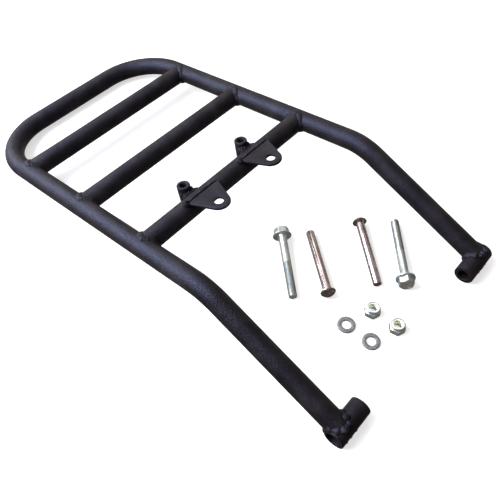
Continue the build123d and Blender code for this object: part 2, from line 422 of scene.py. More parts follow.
def ramp(
    tree: bpy.types.NodeTree,
    value: bpy.types.NodeSocket,
    stops: list[tuple[float, Colour]],
) -> bpy.types.NodeSocket:
    """Turns a value into a colour.

    Args:
        tree: the material's node tree.
        value: the value to read.
        stops: position and colour of each stop.

    Returns:
        The colour.
    """
    node = tree.nodes.new("ShaderNodeValToRGB")
    while len(node.color_ramp.elements) < len(stops):
        node.color_ramp.elements.new(0.5)
    for element, (position, colour) in zip(node.color_ramp.elements, stops):
        element.position = position
        element.color = (*colour, 1)
    tree.links.new(value, node.inputs["Fac"])
    return node.outputs["Color"]


def fix(node: bpy.types.Node, **values: float | Colour) -> None:
    """Sets a node's own sockets to fixed values.

    Args:
        node: the node.
        values: each socket's name, with underscores for spaces, and its value.
    """
    for name, value in values.items():
        socket = node.inputs[name.replace("_", " ")]
        socket.default_value = (*value, 1) if isinstance(value, tuple) else value


def spread(
    tree: bpy.types.NodeTree, value: bpy.types.NodeSocket, low: float, high: float
) -> bpy.types.NodeSocket:
    """Stretches the middle of a noise value over a range.

    Args:
        tree: the material's node tree.
        value: the noise value.
        low: the result where the noise is low.
        high: the result where the noise is high.

    Returns:
        The result.
    """
    node = tree.nodes.new("ShaderNodeMapRange")
    fix(node, From_Min=0.3, From_Max=0.7, To_Min=low, To_Max=high)
    tree.links.new(value, node.inputs["Value"])
    return node.outputs["Result"]


def relief(
    tree: bpy.types.NodeTree,
    bsdf: bpy.types.Node,
    layers: list[tuple[bpy.types.NodeSocket, float]],
) -> None:
    """Stacks bump layers under a shader.

    Args:
        tree: the material's node tree.
        bsdf: the shader node.
        layers: the height value and the depth in metres of each layer.
    """
    below = None
    for height, depth in layers:
        bump = tree.nodes.new("ShaderNodeBump")
        fix(bump, Strength=1.0, Distance=depth)
        tree.links.new(height, bump.inputs["Height"])
        if below:
            tree.links.new(below, bump.inputs["Normal"])
        below = bump.outputs["Normal"]
    tree.links.new(below, bsdf.inputs["Normal"])


@dataclass(frozen=True)
class Finish:
    """What every finish has: its material slot in the record."""

    slot: str

    @property
    def name(self) -> str:
        """The material's own name, apart from the plain one that the CAD model brings.

        Returns:
            The name.
        """
        return f"{self.slot}_finish"

    def make(self) -> bpy.types.Material:
        """Makes the material.

        Returns:
            The material.
        """
        raise NotImplementedError

    def coat(self, *things: Thing) -> None:
        """Dresses pieces in this finish.

        Args:
            things: the pieces.
        """
        material = bpy.data.materials.get(self.name) or self.make()
        for thing in things:
            thing.data.materials.clear()
            thing.data.materials.append(material)


@dataclass(frozen=True)
class PowderCoat(Finish):
    """Satin black powder coat with orange peel and dusty patches."""

    slot: str = "frame_paint"
    deep: Colour = (0.0050, 0.0032, 0.0024)
    mid: Colour = (0.0085, 0.0062, 0.0052)
    dusty: Colour = (0.016, 0.013, 0.012)

    def make(self) -> bpy.types.Material:
        """Makes the paint: patchy tint, uneven gloss, orange peel, fine grit and a painted blue
        tint in its highlights.

        Returns:
            The material.
        """
        material, tree, bsdf = shader(self.name)
        patches = grain(tree, 55, 5)
        grit = grain(tree, 1100, 2)
        peel = grain(tree, 420, 3)
        tint = ramp(tree, patches, [(0.32, self.deep), (0.52, self.mid), (0.74, self.dusty)])
        tree.links.new(tint, bsdf.inputs["Base Color"])
        tree.links.new(spread(tree, grain(tree, 240, 4), 0.34, 0.47), bsdf.inputs["Roughness"])
        # Painted reflection: the blue Specular Tint gives every highlight on the coat the colour of
        # a cool sky light; the blue is the light's colour, not the coat's.
        fix(bsdf, Specular_IOR_Level=0.27, Specular_Tint=(0.54, 0.60, 1.0))
        relief(tree, bsdf, [(peel, 0.00025), (grit, 0.0006)])
        return material


@dataclass(frozen=True)
class ZincPlate(Finish):
    """Bright zinc with a cool body and faint yellow stains."""

    slot: str = "zinc_plate"
    cool: Colour = (0.55, 0.63, 0.68)
    bright: Colour = (0.74, 0.76, 0.72)
    olive: Colour = (0.68, 0.66, 0.50)

    def make(self) -> bpy.types.Material:
        """Makes the plating: stained colour, uneven gloss and fine pits.

        Returns:
            The material.
        """
        material, tree, bsdf = shader(self.name)
        stain = grain(tree, 110, 2)
        tint = ramp(tree, stain, [(0.34, self.cool), (0.52, self.bright), (0.70, self.olive)])
        tree.links.new(tint, bsdf.inputs["Base Color"])
        fix(bsdf, Metallic=0.92)
        tree.links.new(spread(tree, grain(tree, 700, 3), 0.27, 0.37), bsdf.inputs["Roughness"])
        relief(tree, bsdf, [(grain(tree, 1300, 2), 0.000008)])
        return material


@dataclass(frozen=True)
class PolishedSteel(Finish):
    """Polished steel pins with a warm cast and faint handling marks."""

    slot: str = "polished_steel"
    warm: Colour = (0.43, 0.34, 0.34)
    clear: Colour = (0.62, 0.56, 0.55)

    def make(self) -> bpy.types.Material:
        """Makes the steel: slight colour change, smears and polish marks.

        Returns:
            The material.
        """
        material, tree, bsdf = shader(self.name)
        tint = ramp(tree, grain(tree, 110, 4), [(0.36, self.warm), (0.66, self.clear)])
        tree.links.new(tint, bsdf.inputs["Base Color"])
        fix(bsdf, Metallic=1.0)
        tree.links.new(spread(tree, grain(tree, 320, 5), 0.19, 0.27), bsdf.inputs["Roughness"])
        relief(tree, bsdf, [(grain(tree, 700, 1), 0.000001)])
        return material


@dataclass(frozen=True)
class DullSteel(Finish):
    """Dull mottled plating of the washers."""

    slot: str = "dull_steel"
    dark: Colour = (0.17, 0.17, 0.17)
    grey: Colour = (0.26, 0.255, 0.255)
    pale: Colour = (0.37, 0.365, 0.365)

    def make(self) -> bpy.types.Material:
        """Makes the plating: cloudy colour, uneven gloss and a tumbled surface.

        Returns:
            The material.
        """
        material, tree, bsdf = shader(self.name)
        cloud = grain(tree, 900, 3)
        tint = ramp(tree, cloud, [(0.34, self.dark), (0.5, self.grey), (0.68, self.pale)])
        tree.links.new(tint, bsdf.inputs["Base Color"])
        fix(bsdf, Metallic=0.85)
        tree.links.new(spread(tree, grain(tree, 600, 3), 0.40, 0.56), bsdf.inputs["Roughness"])
        relief(tree, bsdf, [(grain(tree, 1100, 3), 0.00003)])
        return material


@dataclass(frozen=True)
class Nylon(Finish):
    """Cream nylon of the locking rings."""

    slot: str = "nylon"
    shade_tint: Colour = (0.62, 0.58, 0.38)
    cream: Colour = (0.84, 0.82, 0.64)

    def make(self) -> bpy.types.Material:
        """Makes the nylon: waxy, slightly stained, with a moulded grain.

        Returns:
            The material.
        """
        material, tree, bsdf = shader(self.name)
        tint = ramp(tree, grain(tree, 500, 3), [(0.3, self.shade_tint), (0.62, self.cream)])
        tree.links.new(tint, bsdf.inputs["Base Color"])
        tree.links.new(spread(tree, grain(tree, 900, 2), 0.34, 0.50), bsdf.inputs["Roughness"])
        fix(bsdf, Subsurface_Weight=0.15, Subsurface_Scale=MM)
        relief(tree, bsdf, [(grain(tree, 1400, 2), 0.00003)])
        return material


# ---------------------------------------------------------------- carrier


@dataclass(frozen=True)
class Layout:
    """The sizes that the carrier's pieces share, and the places they give."""

    tube_r: float = 9.525 * MM
    rail_y: float = 106.5 * MM
    bend_radius: float = 57.15 * MM
    rail_length: float = 319 * MM
    leg_length: float = 149 * MM
    drop: float = math.radians(30.5)
    boss_r: float = 9 * MM
    boss_below_leg: float = 1 * MM
    first_bar: float = 69 * MM
    bar_pitch: float = 87 * MM
    front_bar: float = 243 * MM

    @property
    def boss_on_deck(self) -> tuple[float, float]:
        """The boss axis on the deck: along it, and above it.

        Returns:
            Both distances.
        """
        reach = self.rail_length + self.leg_length * math.cos(self.drop)
        fall = self.leg_length * math.sin(self.drop)
        return (
            reach - self.boss_below_leg * math.sin(self.drop),
            -fall - self.boss_below_leg * math.cos(self.drop),
        )

    @property
    def tilt(self) -> float:
        """How steeply the deck rises, with hoop and bosses both on the floor.

        Returns:
            The angle in radians.
        """
        along, above = self.boss_on_deck
        return math.atan2(-above, along) + math.asin(
            (self.boss_r - self.tube_r) / math.hypot(along, above)
        )

    @property
    def boss_x(self) -> float:
        """The boss axis along the floor, from the carrier's middle.

        Returns:
            The distance.
        """
        along, above = self.boss_on_deck
        run = along * math.cos(self.tilt) - above * math.sin(self.tilt)
        return (run + self.tube_r - self.boss_r) / 2

    @property
    def hoop_x(self) -> float:
        """The hoop's rear tube along the floor, from the carrier's middle.

        Returns:
            The distance.
        """
        along, above = self.boss_on_deck
        return self.boss_x - along * math.cos(self.tilt) + above * math.sin(self.tilt)

    @property
    def deck(self) -> Matrix:
        """The place of the deck, whose origin is the middle of the hoop's rear tube.

        Returns:
            The place.
        """
        turn = Matrix.Rotation(-self.tilt, 4, "Y")
        return Matrix.Translation((self.hoop_x, 0, self.tube_r)) @ turn

    @property
    def leg_way(self) -> Vector:
        """The way down a leg, on the deck.

        Returns:
            A vector one metre long.
        """
        return Vector((math.cos(self.drop), 0, -math.sin(self.drop)))

    def leg_foot(self, side: Side) -> Vector:
        """The lower end of a leg's axis, on the deck.

        Args:
            side: which leg.

        Returns:
            The point.
        """
        top = Vector((self.rail_length, side.value * self.rail_y, 0))
        return top + self.leg_way * self.leg_length


@dataclass
class BentTube:
    """The one bent tube: two legs, two rails and the hoop."""

    layout: Layout
    paint: Finish
    sides: int = 64
    bend_steps: int = 40
    leg_bend_steps: int = 16

    def build(self) -> Thing:
        """Bends the tube from one ring and fits its ends to the bosses.

        Returns:
            The finished tube.
        """
        at = self.layout
        setback = at.bend_radius * math.tan(at.drop / 2)
        bpy.ops.object.select_all(action="DESELECT")
        bpy.ops.mesh.primitive_circle_add(
            vertices=self.sides,
            radius=at.tube_r,
            location=at.leg_foot(Side.RIGHT),
            rotation=(0, at.drop - math.pi / 2, 0),
        )
        tube = fresh("bent_tube")
        right_y, left_y = -at.rail_y, at.rail_y
        corner = at.rail_y - at.bend_radius
        rail_run = at.rail_length - setback - at.bend_radius
        leg_run = at.leg_length - setback
        bend_x = at.rail_length - setback
        with editing(tube):
            self.run(at.leg_way * -leg_run)
            self.bend(Vector((bend_x, right_y, -at.bend_radius)), (0, 1, 0), -at.drop)
            self.run(Vector((-rail_run, 0, 0)))
            self.bend(Vector((at.bend_radius, -corner, 0)), (0, 0, 1), -math.pi / 2)
            self.run(Vector((0, 2 * corner, 0)))
            self.bend(Vector((at.bend_radius, corner, 0)), (0, 0, 1), -math.pi / 2)
            self.run(Vector((rail_run, 0, 0)))
            self.bend(Vector((bend_x, left_y, -at.bend_radius)), (0, 1, 0), at.drop)
            self.run(at.leg_way * leg_run)
            bpy.ops.mesh.select_all(action="SELECT")
            bpy.ops.mesh.fill_holes(sides=0)
        close_up(tube)
        put(tube, at.deck)
        for side in Side:
            tip = Vector((at.boss_x, side.value * at.rail_y, at.boss_r))
            reach = Vector((0, 2 * at.tube_r, 0))
            cope = drum("cope", at.boss_r - SEAT, tip - reach, tip + reach, 96)
            combine(tube, cope, "DIFFERENCE")
        shade(tube, 40)
        self.paint.coat(tube)
        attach(tube, "carrier")
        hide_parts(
            "right_leg",
            "right_leg_bend",
            "right_rail",
            "right_hoop_bend",
            "hoop_tube",
            "left_hoop_bend",
            "left_rail",
            "left_leg_bend",
            "left_leg",
        )
        return tube

    def run(self, way: Vector) -> None:
        """Draws the open ring out straight.

        Args:
            way: how far and which way.
        """
        bpy.ops.mesh.extrude_region_move(TRANSFORM_OT_translate={"value": way})

    def bend(self, centre: Vector, axis: tuple[float, float, float], angle: float) -> None:
        """Draws the open ring round a bend. Spin turns clockwise, so the angle is reversed.

        Args:
            centre: a point on the axis of the bend.
            axis: the way of that axis.
            angle: the turn, in radians.
        """
        full = abs(axis[2]) > 0
        bpy.ops.mesh.spin(
            steps=self.bend_steps if full else self.leg_bend_steps,
            angle=-angle,
            center=centre,
            axis=axis,
        )


@dataclass
class Crossbars:
    """Three crossbars between the rails, with a weld bead round each end."""

    layout: Layout
    paint: Finish
    bead_half_width: float = 3.1 * MM
    bead_height: float = 1.3 * MM
    ripples: float = 30

    def build(self) -> list[Thing]:
        """Makes one bar and one pair of beads, and copies them to the three places.

        Returns:
            The bars and the pairs of beads.
        """
        at = self.layout
        made = []
        first_bar = self.bar()
        for number, word in enumerate(("rear", "middle", "front")):
            along = at.first_bar + number * at.bar_pitch
            shift = Matrix.Translation((along, 0, 0))
            bar = put(twin(first_bar, f"{word}_bar"), at.deck @ shift)
            beads = [self.saddle_bead(f"{word}_bead", side, along) for side in Side]
            pair = put(join(f"{word}_bar_beads", *beads), at.deck @ shift)
            self.paint.coat(bar, pair)
            made += belong({f"{word}_crossbar": bar, f"{word}_crossbar_welds": pair}, "carrier")
        bpy.data.objects.remove(first_bar, do_unlink=True)
        return made

    def bar(self) -> Thing:
        """A tube whose ends are coped to the rails, across the deck's own origin.

        Returns:
            The bar.
        """
        at = self.layout
        end = Vector((0, at.rail_y, 0))
        bar = drum("bar", at.tube_r, -end, end, 64)
        for side in Side:
            middle = end * side.value
            reach = Vector((2 * at.tube_r, 0, 0))
            cope = drum("cope", at.tube_r - SEAT, middle - reach, middle + reach, 96)
            combine(bar, cope, "DIFFERENCE")
        return shade(close_up(bar), 40)

    def saddle_bead(self, name: str, side: Side, along: float) -> Thing:
        """The bead round one end of a bar.

        Args:
            name: the bead's name.
            side: which rail.
            along: the bar's place along the deck, which varies the lumps.

        Returns:
            The bead.
        """
        at = self.layout

        def line(share: float) -> Spot:
            """Where bar and rail meet, and the way that the bead faces.

            Args:
                share: how far along the line, from 0 to 1.

            Returns:
                The bead's middle there, and the way that it faces.
            """
            turn = math.tau * share
            level, rise = math.cos(turn), math.sin(turn)
            inward = math.sqrt(level**2 + 0.05)
            place = Vector((level, side.value * (at.rail_y / at.tube_r - inward), rise)) * at.tube_r
            return place, Vector((level, -side.value * inward, 1.6 * rise)).normalized()

        size = (self.bead_half_width, self.bead_height)
        return bead(name, line, True, size, self.ripples + round(along / at.bar_pitch), 0.2)


@dataclass
class Boss:
    """A bored cross tube at the foot of a leg, and the weld between them."""

    layout: Layout
    paint: Finish
    side: Side
    bore_r: float = 5.25 * MM
    mouth_r: float = 7.3 * MM
    mouth_depth: float = 16 * MM
    inboard: float = 26 * MM
    outboard: float = 10.5 * MM
    edge: float = 0.5 * MM
    bead_half_width: float = 2.9 * MM
    bead_height: float = 1.9 * MM
    drip_swing: float = -43.0
    drip_sunk: float = 0.4 * MM
    floor_gap: float = 0.25 * MM

    def build(self) -> list[Thing]:
        """Makes the sleeve and its weld.

        Returns:
            Both pieces.
        """
        sleeve = self.sleeve()
        weld = self.weld()
        self.paint.coat(sleeve, weld)
        word = self.side.word
        return belong({f"{word}_boss": sleeve, f"{word}_boss_weld": weld}, "carrier")

    def sleeve(self) -> Thing:
        """Turns the sleeve with its bore and its wider mouth outside.

        Returns:
            The sleeve.
        """
        at = self.layout
        length = self.inboard + self.outboard
        step = length - self.mouth_depth
        edge = self.edge
        profile = [
            (self.bore_r + edge * 0.6, 0),
            (at.boss_r - edge, 0),
            (at.boss_r - edge * 0.3, edge * 0.3),
            (at.boss_r, edge),
            (at.boss_r, length - edge),
            (at.boss_r - edge * 0.3, length - edge * 0.3),
            (at.boss_r - edge, length),
            (self.mouth_r + edge * 0.4, length),
            (self.mouth_r, length - edge * 0.4),
            (self.mouth_r, step + edge),
            (self.mouth_r - edge, step),
            (self.bore_r + edge * 0.4, step),
            (self.bore_r, step - edge * 0.4),
            (self.bore_r, edge * 0.6),
        ]
        sleeve = turned(f"{self.side.word}_boss_sleeve", profile, ring=True, steps=72)
        inner = self.side.value * (at.rail_y - self.inboard)
        face = Matrix.Rotation(-self.side.value * math.pi / 2, 4, "X")
        put(sleeve, Matrix.Translation((at.boss_x, inner, at.boss_r)) @ face)
        return shade(sleeve, 30)

    def weld(self) -> Thing:
        """Lays the bead round the leg and the run-off on the front of the boss.

        Returns:
            The weld.
        """
        at = self.layout
        slope = at.drop - at.tilt
        up_leg = Vector((-math.cos(slope), 0, math.sin(slope)))
        square = Vector((math.sin(slope), 0, math.cos(slope)))
        axis = Vector((at.boss_x, self.side.value * at.rail_y, at.boss_r))

        def round_leg(share: float) -> Spot:
            """Where leg and boss meet, and the way that the bead faces.

            Args:
                share: how far along the line, from 0 to 1.

            Returns:
                The bead's middle there, and the way that it faces.
            """
            turn = math.tau * share
            across, rise = math.cos(turn), math.sin(turn)
            high = min(at.boss_below_leg + at.tube_r * rise, at.boss_r * 1.02)
            back = math.sqrt(max(at.boss_r**2 - high**2, 0) + (0.16 * at.boss_r) ** 2)
            place = axis + up_leg * back + square * high
            place.y += at.tube_r * across
            face = up_leg * 0.8 + square * (rise * 1.2)
            face.y += across * 1.3
            return place, face.normalized()

        def front(share: float) -> Spot:
            """A low line of run-off along the front of the boss.

            Args:
                share: how far along the line, from 0 to 1.

            Returns:
                The bead's middle there, and the way that it faces.
            """
            swing = math.radians(self.drip_swing + 4 * math.sin(9 * share + self.side.value))
            face = Vector((math.cos(swing), 0, math.sin(swing)))
            place = axis + face * (at.boss_r - self.drip_sunk)
            place.y -= self.side.value * at.tube_r * (1.7 * share - 0.5)
            return place, face

        word = self.side.word
        ring = bead(
            f"{word}_ring", round_leg, True, (self.bead_half_width, self.bead_height), 15, 0.34
        )
        drip = bead(f"{word}_drip", front, False, (2.2 * MM, 1.8 * MM), 4, 1.3, 0.35)
        weld = join(f"{word}_boss_bead", ring, drip)
        limit = at.boss_x + at.boss_r
        end = at.rail_y + self.outboard - 0.1 * MM
        for point in weld.data.vertices:
            point.co.z = max(point.co.z, self.floor_gap)
            point.co.x = min(point.co.x, limit)
            point.co.y = max(-end, min(point.co.y, end))
        return weld


@dataclass
class Tab:
    """A flat tab welded on the shoulder of the front bar."""

    layout: Layout
    paint: Finish
    side: Side
    spacing: float = 69.3 * MM
    thickness: float = 2.5 * MM
    rise: float = 1.4 * MM
    rear_width: float = 38 * MM
    hole_r: float = 4.25 * MM
    setback: float = 19.9 * MM
    nose_r: float = 10.4 * MM
    bead_r: float = 1.7 * MM

    @property
    def top(self) -> float:
        """The tab's upper face, above the deck's tube axes.

        Returns:
            The height.
        """
        return self.layout.tube_r + self.rise

    @property
    def rear(self) -> float:
        """The tab's rear edge along the deck, where its underside meets the bar.

        Returns:
            The distance.
        """
        under = self.top - self.thickness
        return self.layout.front_bar + math.sqrt(self.layout.tube_r**2 - under**2)

    def build(self) -> list[Thing]:
        """Makes the plate and its weld.

        Returns:
            Both pieces.
        """
        plate, weld = self.plate(), self.weld()
        self.paint.coat(plate, weld)
        word = self.side.word
        return belong({f"{word}_tab": plate, f"{word}_tab_weld": weld}, "carrier")

    def plate(self) -> Thing:
        """Pulls the back half of a round blank out to a straight rear edge, and drills it.

        Returns:
            The plate.
        """
        middle = self.side.value * self.spacing / 2
        hole_x = self.rear + self.setback
        foot = Vector((hole_x, middle, self.top - self.thickness))
        head = Vector((hole_x, middle, self.top))
        plate = drum(f"{self.side.word}_tab_plate", self.nose_r, foot, head, 96)
        half = self.rear_width / 2
        reach = math.hypot(self.setback, half)
        tangent = math.atan2(half, -self.setback) - math.acos(self.nose_r / reach)
        for point in plate.data.vertices:
            turn = math.atan2(point.co.y - middle, point.co.x - hole_x)
            if abs(turn) > tangent + 1e-4:
                share = (math.pi - abs(turn)) / (math.pi - tangent)
                point.co.x = self.rear
                point.co.y = middle + math.copysign(half * min(1, share * 1.02), turn)
        drill = drum("drill", self.hole_r, foot - Vector((0, 0, MM)), head + Vector((0, 0, MM)))
        combine(plate, drill, "DIFFERENCE")
        soften(plate, 0.45 * MM, 3)
        close_up(plate, 2e-6)
        put(plate, self.layout.deck)
        return shade(plate, 30)

    def weld(self) -> Thing:
        """Lays the bead along the rear edge, with a blob where it was started.

        Returns:
            The weld.
        """
        middle = self.side.value * self.spacing / 2
        low = self.top - self.thickness * 0.35

        def along(share: float) -> Spot:
            """A line just behind the tab's rear edge, from right to left.

            Args:
                share: how far along the line, from 0 to 1.

            Returns:
                The bead's middle there, and the way that it faces.
            """
            place = Vector((self.rear - 2.0 * MM, middle + self.rear_width * (share - 0.5), 0))
            place.z = low - 0.5 * MM
            return place, Vector((-0.25, 0, 1)).normalized()

        def start(share: float) -> Spot:
            """The blob at the right end of the edge.

            Args:
                share: how far along the line, from 0 to 1.

            Returns:
                The bead's middle there, and the way that it faces.
            """
            place = Vector((self.rear + 4.4 * MM * (share - 0.6), 0, low + 0.4 * MM))
            place.y = middle - self.rear_width / 2 - 0.6 * MM * math.sin(math.pi * share)
            return place, Vector((-0.2, -0.3, 1)).normalized()

        run = bead("run", along, False, (1.6 * MM, self.bead_r * 1.2), 22, 0.2)
        blob = bead("blob", start, False, (2.0 * MM, 2.0 * MM), 4, 0.4)
        weld = join(f"{self.side.word}_tab_bead", run, blob)
        return put(weld, self.layout.deck)


@dataclass
class Spacer:
    """A round drilled pillar behind the front bar, and the web that holds it."""

    layout: Layout
    paint: Finish
    side: Side
    spacing: float = 77 * MM
    radius: float = 6.2 * MM
    hole_r: float = 3.3 * MM
    length: float = 21.5 * MM
    rise: float = 1.2 * MM
    gap: float = 1.4 * MM
    web_top: float = 4.8 * MM
    web_height: float = 9 * MM
    web_bar_width: float = 18 * MM

    @property
    def along(self) -> float:
        """The pillar's axis along the deck.

        Returns:
            The distance.
        """
        return self.layout.front_bar - self.layout.tube_r - self.gap - self.radius

    @property
    def middle(self) -> float:
        """The pillar's axis across the deck.

        Returns:
            The distance.
        """
        return self.side.value * self.spacing / 2

    def build(self) -> list[Thing]:
        """Makes the pillar and its web.

        Returns:
            Both pieces.
        """
        pillar, web = self.pillar(), self.web()
        self.paint.coat(pillar, web)
        word = self.side.word
        return belong({f"{word}_spacer": pillar, f"{word}_spacer_web": web}, "carrier")

    def pillar(self) -> Thing:
        """Turns the pillar with rounded rims.

        Returns:
            The pillar.
        """
        edge, lip = 0.7 * MM, 0.5 * MM
        top = self.length
        profile = [
            (self.hole_r + lip, 0),
            (self.radius - edge, 0),
            (self.radius - edge * 0.3, edge * 0.3),
            (self.radius, edge),
            (self.radius, top - edge),
            (self.radius - edge * 0.3, top - edge * 0.3),
            (self.radius - edge, top),
            (self.hole_r + lip, top),
            (self.hole_r, top - lip),
            (self.hole_r, lip),
        ]
        pillar = turned(f"{self.side.word}_spacer_pillar", profile, ring=True, steps=64)
        foot = self.layout.tube_r + self.rise - self.length
        put(pillar, self.layout.deck @ Matrix.Translation((self.along, self.middle, foot)))
        return shade(pillar, 50)

    def web(self) -> Thing:
        """Shapes the web from a block: wide at the bar, narrow at the pillar, hollow sides.

        Returns:
            The web, with the blob at its pillar.
        """
        at = self.layout
        start = Vector((self.along, self.middle, self.web_top - self.web_height / 2))
        reach = at.front_bar - at.tube_r * 0.86 - self.along
        bpy.ops.object.select_all(action="DESELECT")
        bpy.ops.mesh.primitive_cube_add(size=1, location=start + Vector((reach / 2, 0, 0)))
        bpy.context.object.scale = (reach, self.web_bar_width, self.web_height)
        web = fresh(f"{self.side.word}_spacer_gusset")
        with editing(web, "FACE"):
            bpy.ops.mesh.subdivide(number_cuts=9)
        low = self.web_top - self.web_height
        for point in web.data.vertices:
            share = (point.co.x - self.along) / reach
            narrow = 2 * (self.radius - 0.6 * MM) / self.web_bar_width
            width = narrow + (1 - narrow) * share**2.2
            point.co.y = self.middle + (point.co.y - self.middle) * width
            level = (point.co.z - low) / self.web_height
            point.co.z += 1.1 * MM * share**3 * (2 * level - 1)
            lump = noise.noise(point.co * 260 + Vector((self.side.value, 0, 0)))
            point.co.z += 0.5 * MM * lump * level
        pipe = Vector((0, at.rail_y / 2, 0))
        bar_axis = Vector((at.front_bar, self.middle, 0))
        bar = drum("bar", at.tube_r - SEAT, bar_axis - pipe, bar_axis + pipe, 96)
        combine(web, bar, "DIFFERENCE")
        tall = Vector((0, 0, self.length))
        hub = Vector((self.along, self.middle, 0))
        pillar = drum("hub", self.radius - SEAT, hub - tall, hub + tall, 64)
        combine(web, pillar, "DIFFERENCE")
        soften(web, 0.6 * MM, 3, 60)
        shade(close_up(web, 5e-6), 50)

        def round_pillar(share: float) -> Spot:
            """The foot of the pillar's front, where the web meets it.

            Args:
                share: how far along the line, from 0 to 1.

            Returns:
                The bead's middle there, and the way that it faces.
            """
            turn = math.radians(150 * (share - 0.5))
            face = Vector((math.cos(turn), math.sin(turn), 0.9)).normalized()
            place = Vector((self.along, self.middle, self.web_top - 0.2 * MM))
            place += Vector((math.cos(turn), math.sin(turn), 0)) * (self.radius + 0.2 * MM)
            return place, face

        blob = bead("blob", round_pillar, False, (1.7 * MM, 1.5 * MM), 9, 0.4)
        return put(join(web.name, web, blob), at.deck)


# ---------------------------------------------------------------- fixing kit


@dataclass(frozen=True)
class Lie:
    """Where a fixing lies: how far behind the boss axis, how far left, and its turn in degrees."""

    back: float
    left: float
    turn: float = 0.0

    def flat(self, layout: Layout) -> Matrix:
        """The place of a fixing that lies flat on the floor.

        Args:
            layout: the carrier's shared sizes.

        Returns:
            The place.
        """
        turn = Matrix.Rotation(math.radians(self.turn), 4, "Z")
        return Matrix.Translation((layout.boss_x - self.back, self.left, 0)) @ turn

    def leaning(self, layout: Layout, rim_r: float, shank: "Shank", head: float) -> Matrix:
        """The place under the head of a bolt that lies on its head's rim and its tip.

        Args:
            layout: the carrier's shared sizes.
            rim_r: radius of the head's rim.
            shank: the bolt's shank.
            head: height of the head.

        Returns:
            The place, whose Z runs from the head to the tip.
        """
        turn = math.radians(self.turn)
        dip = math.atan2(rim_r - shank.radius, shank.length - shank.tip)
        way = Vector(
            (math.cos(turn) * math.cos(dip), math.sin(turn) * math.cos(dip), -math.sin(dip))
        )
        across = Vector((-math.sin(turn), math.cos(turn), 0))
        rise = way.cross(across)
        from_middle = (shank.length - head) / 2
        under = Vector(
            (
                layout.boss_x - self.back - way.x * from_middle,
                self.left - way.y * from_middle,
                rim_r * math.cos(dip),
            )
        )
        axes = Matrix((across, rise, way)).transposed().to_4x4()
        return Matrix.Translation(under) @ axes


@dataclass(frozen=True)
class Shank:
    """The shank of a bolt or pin, from under its head to its tip."""

    radius: float = 4 * MM
    length: float = 70 * MM
    tip: float = 0.9 * MM
    thread: float = 0.0
    depth: float = 0.7 * MM
    steps_per_turn: int = 6

    def profile(self) -> Profile:
        """The shank's outline from under the head to the middle of the tip.

        Returns:
            Radius and distance from the head of each point.
        """
        outline: Profile = []
        if self.thread:
            start = self.length - self.thread
            outline.append((self.radius, start - PITCH))
            steps = round((self.thread - self.tip) / PITCH * self.steps_per_turn)
            for number in range(steps + 1):
                outline.append((self.radius, start + (self.thread - self.tip) * number / steps))
            outline += [(self.radius - self.tip * 0.9, self.length - self.tip * 0.12)]
        else:
            outline += [
                (self.radius, self.length - self.tip),
                (self.radius - self.tip * 0.25, self.length - self.tip * 0.45),
                (self.radius - self.tip, self.length),
                (self.radius * 0.34, self.length),
                (self.radius * 0.26, self.length - 0.35 * MM),
            ]
        last = self.length if self.thread else self.length - 0.35 * MM
        outline.append((0, last))
        return outline

    def cut_thread(self, thing: Thing) -> None:
        """Cuts a helical groove, which fades in at the plain shank and out at the tip.

        Args:
            thing: the bolt, turned about Z.
        """
        start = self.length - self.thread
        end = self.length - self.tip
        for point in thing.data.vertices:
            x, y, z = point.co
            if not start - 1e-6 <= z <= end + 1e-6 or math.hypot(x, y) < self.radius * 0.98:
                continue
            phase = (z / PITCH - math.atan2(y, x) / math.tau) % 1.0
            groove = 1 - abs(2 * phase - 1)
            fade = min(1, (z - start) / (1.5 * PITCH), (end - z) / PITCH + 0.3)
            shrink = 1 - self.depth * groove * max(0.0, fade) / self.radius
            point.co.x, point.co.y = x * shrink, y * shrink


def hex_block(name: str, flats: float, low: float, high: float, crown_up: bool) -> Thing:
    """A hexagonal block whose far corners are turned off at 30 degrees.

    Args:
        name: the block's name.
        flats: size across the flats.
        low: height of its lower end.
        high: height of its upper end.
        crown_up: the turned-off end is the upper one.

    Returns:
        The block, centred on the Z axis.
    """
    corner_r = flats / 2 / math.cos(math.pi / 6)
    block = drum(name, corner_r, Vector((0, 0, low)), Vector((0, 0, high)), 6)
    soften(block, 0.25 * MM, 2, 50)
    crown_r = flats / 2 - 0.3 * MM
    height = high - low
    wide_r = crown_r + height * math.tan(math.radians(60))
    bpy.ops.object.select_all(action="DESELECT")
    bpy.ops.mesh.primitive_cone_add(
        vertices=96,
        radius1=wide_r if crown_up else crown_r,
        radius2=crown_r if crown_up else wide_r,
        depth=height,
        location=(0, 0, (low + high) / 2),
    )
    return combine(block, fresh("crown"), "INTERSECT")


